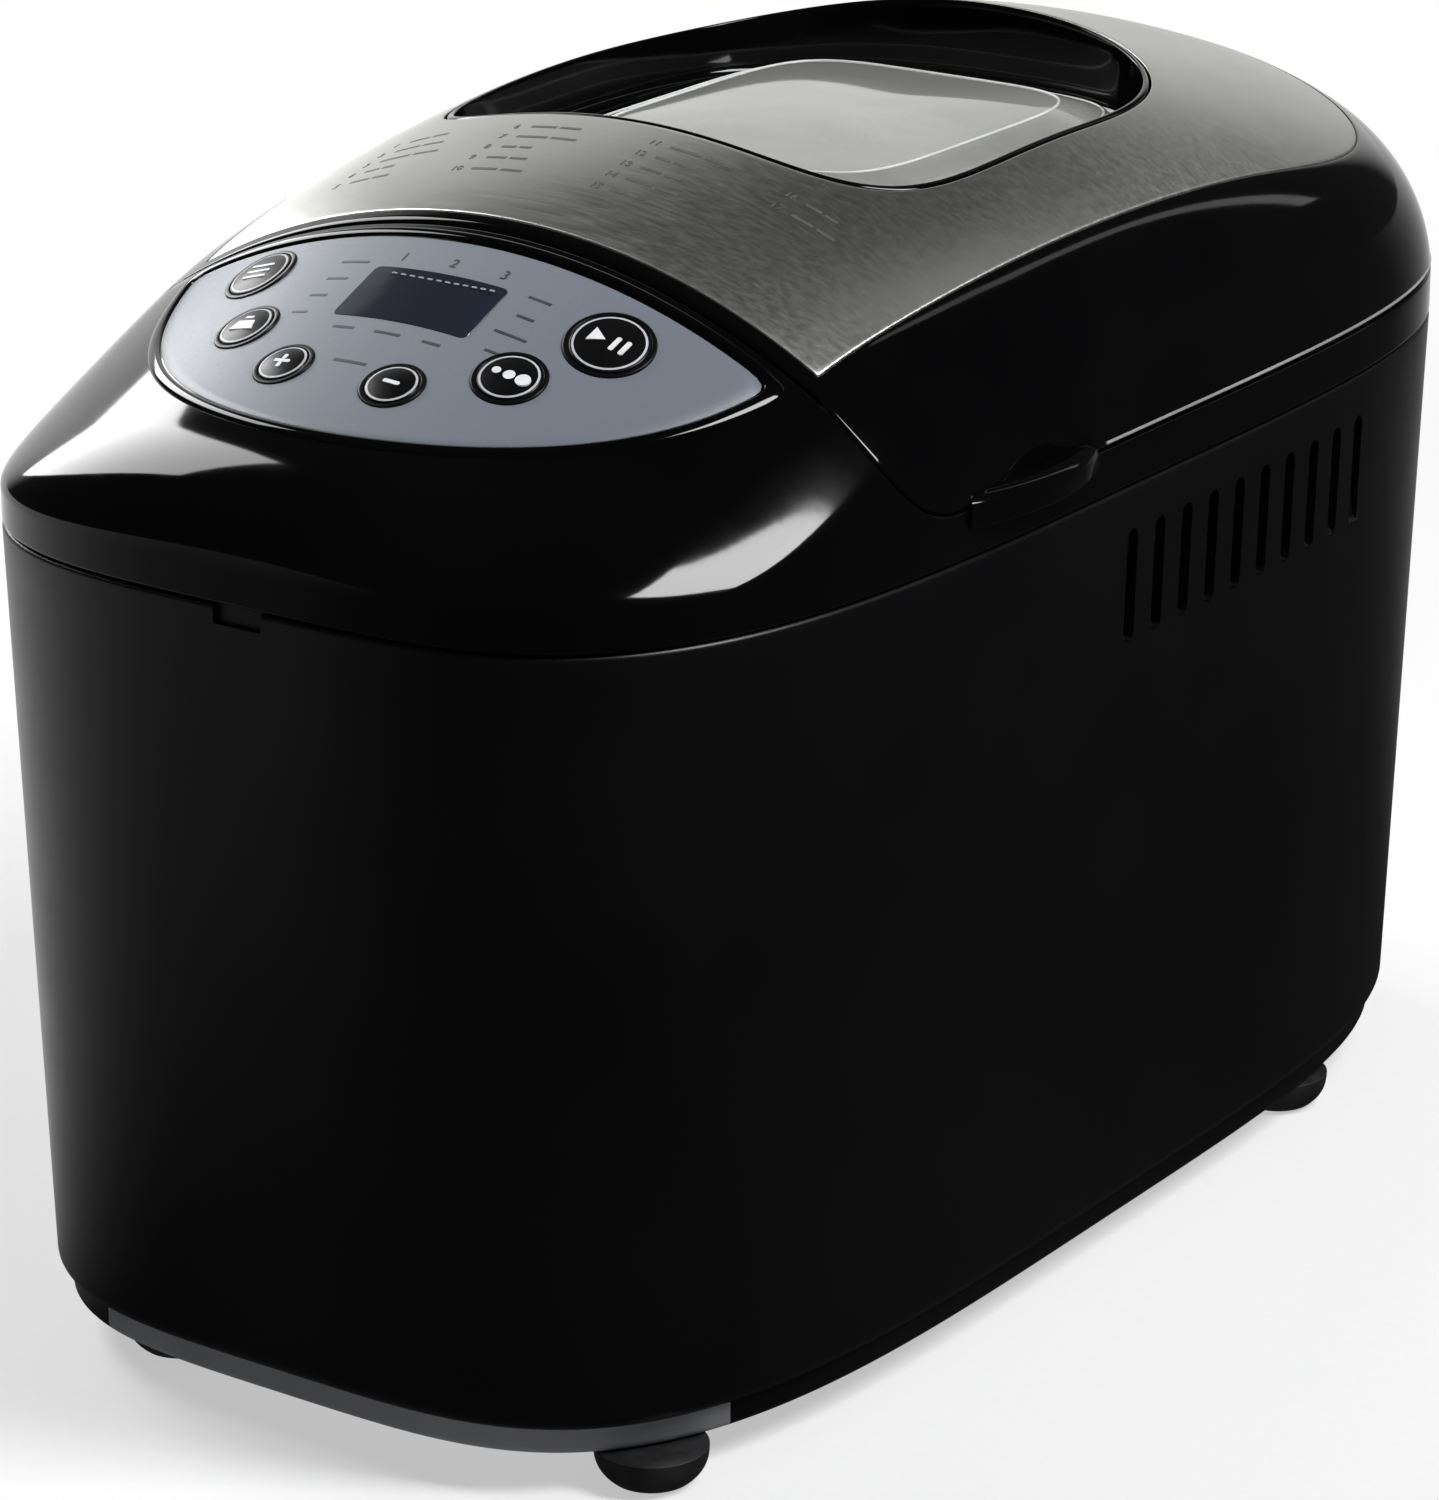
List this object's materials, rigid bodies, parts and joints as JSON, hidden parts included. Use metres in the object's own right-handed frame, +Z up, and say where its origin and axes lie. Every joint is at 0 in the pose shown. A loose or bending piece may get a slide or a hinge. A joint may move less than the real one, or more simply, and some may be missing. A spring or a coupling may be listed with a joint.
{
  "type": "bread machine",
  "caption": "Countertop bread machine with a hinged windowed lid, sloping control panel with buttons and display, and a lift-out pan with kneading paddles.",
  "frame": {"origin": "centre of the footprint of the whole machine, on the surface its feet stand on", "axes": "+X across the machine, to the right of someone who faces the control panel; +Y from the control panel to the hinged rear; +Z up"},
  "size_m": [0.2512, 0.428, 0.2982],
  "materials": {
    "gloss_black": "polished",
    "satin_black": "satin",
    "dark_grey": "matte",
    "foot_rubber": "matte",
    "panel_film": "satin",
    "silver_trim": "polished",
    "display_dark": "polished",
    "board_green": "matte",
    "sheet_steel": "brushed",
    "cast_metal": "cast",
    "white_moulding": "matte",
    "belt_rubber": "matte",
    "coated_metal": "satin",
    "brushed_steel": "brushed",
    "clear_glass": "polished",
    "silicone": "matte"
  },
  "bodies": {
    "base": {"control_hood": "gloss_black", "body_shell": "satin_black", "cord_gland": "satin_black", "display_module": "satin_black", "base_plate": "dark_grey", "foot_front_left": "foot_rubber", "foot_front_right": "foot_rubber", "foot_rear_left": "foot_rubber", "foot_rear_right": "foot_rubber", "control_overlay": "panel_film", "button_ring_menu": "silver_trim", "button_ring_weight": "silver_trim", "button_ring_plus": "silver_trim", "button_ring_minus": "silver_trim", "button_ring_colour": "silver_trim", "button_ring_start": "silver_trim", "display_window": "display_dark", "control_board": "board_green", "power_board": "board_green", "chassis_frame": "sheet_steel", "oven_chamber": "sheet_steel", "temperature_sensor": "sheet_steel", "pan_clip_left": "sheet_steel", "pan_clip_right": "sheet_steel", "hinge_bracket_left": "sheet_steel", "hinge_bracket_right": "sheet_steel", "hinge_pin_left": "sheet_steel", "hinge_pin_right": "sheet_steel", "drive_bearing_front": "cast_metal", "drive_bearing_rear": "cast_metal", "motor": "cast_metal", "heater_terminal_block": "white_moulding", "belt_motor": "belt_rubber", "belt_rear": "belt_rubber", "heating_element": "coated_metal"},
    "lid": {"lid_shell": "gloss_black", "lid_cover": "brushed_steel", "window_surround": "gloss_black", "window_glass": "clear_glass", "lid_liner": "sheet_steel", "inner_glass": "clear_glass", "lid_seal": "silicone"},
    "button_menu": {"button_menu": "gloss_black"},
    "button_weight": {"button_weight": "gloss_black"},
    "button_plus": {"button_plus": "gloss_black"},
    "button_minus": {"button_minus": "gloss_black"},
    "button_colour": {"button_colour": "gloss_black"},
    "button_start": {"button_start": "gloss_black"},
    "drive_front": {"drive_shaft_front": "sheet_steel", "drive_pulley_front": "white_moulding"},
    "drive_rear": {"drive_shaft_rear": "sheet_steel", "drive_pulley_rear": "white_moulding"},
    "rotor": {"motor_rotor": "sheet_steel"},
    "pan": {"bread_pan": "coated_metal"},
    "handle": {"pan_handle": "sheet_steel"},
    "kneader_front": {"kneader_shaft_front": "sheet_steel", "kneading_paddle_front": "coated_metal"},
    "kneader_rear": {"kneader_shaft_rear": "sheet_steel", "kneading_paddle_rear": "coated_metal"}
  },
  "joints": [
    {"name": "lid_hinge", "type": "hinge", "parent": "base", "child": "lid", "pos_m": [0, 0.204, 0.23], "axis": [-1, 0, 0], "range_deg": [0, 70]},
    {"name": "button_menu_press", "type": "slide", "parent": "base", "child": "button_menu", "axis": [0.2822, 0.3827, -0.8797], "range_m": [0, 0.0008], "stiffness_N_per_m": 400},
    {"name": "button_weight_press", "type": "slide", "parent": "base", "child": "button_weight", "axis": [0.2119, 0.3898, -0.8962], "range_m": [0, 0.0008], "stiffness_N_per_m": 400},
    {"name": "button_plus_press", "type": "slide", "parent": "base", "child": "button_plus", "axis": [0.0983, 0.397, -0.9126], "range_m": [0, 0.0008], "stiffness_N_per_m": 400},
    {"name": "button_minus_press", "type": "slide", "parent": "base", "child": "button_minus", "axis": [-0.0662, 0.398, -0.915], "range_m": [0, 0.0008], "stiffness_N_per_m": 400},
    {"name": "button_colour_press", "type": "slide", "parent": "base", "child": "button_colour", "axis": [-0.187, 0.3919, -0.9008], "range_m": [0, 0.0008], "stiffness_N_per_m": 400},
    {"name": "button_start_press", "type": "slide", "parent": "base", "child": "button_start", "axis": [-0.2571, 0.3855, -0.8862], "range_m": [0, 0.0008], "stiffness_N_per_m": 400},
    {"name": "drive_front_spin", "type": "hinge", "parent": "base", "child": "drive_front", "pos_m": [0, -0.024, 0.06], "axis": [0, 0, 1], "continuous": true},
    {"name": "drive_rear_spin", "type": "hinge", "parent": "base", "child": "drive_rear", "pos_m": [0, 0.092, 0.06], "axis": [0, 0, 1], "continuous": true},
    {"name": "motor_spin", "type": "hinge", "parent": "base", "child": "rotor", "pos_m": [0, -0.158, 0.06], "axis": [0, 0, 1], "continuous": true},
    {"name": "pan_lift", "type": "slide", "parent": "base", "child": "pan", "axis": [0, 0, 1], "range_m": [0, 0.024]},
    {"name": "pan_handle_swing", "type": "hinge", "parent": "pan", "child": "handle", "pos_m": [0, 0.034, 0.2], "axis": [0, -1, 0], "range_deg": [0, 30]},
    {"name": "kneader_front_spin", "type": "hinge", "parent": "pan", "child": "kneader_front", "pos_m": [0, -0.024, 0.06], "axis": [0, 0, 1], "continuous": true},
    {"name": "kneader_rear_spin", "type": "hinge", "parent": "pan", "child": "kneader_rear", "pos_m": [0, 0.092, 0.06], "axis": [0, 0, 1], "continuous": true}
  ],
  "couplings": [
    {"joint": "drive_rear_spin", "follows": "drive_front_spin", "ratio": 1},
    {"joint": "motor_spin", "follows": "drive_front_spin", "ratio": 4.6667},
    {"joint": "kneader_front_spin", "follows": "drive_front_spin", "ratio": 1},
    {"joint": "kneader_rear_spin", "follows": "drive_front_spin", "ratio": 1}
  ]
}
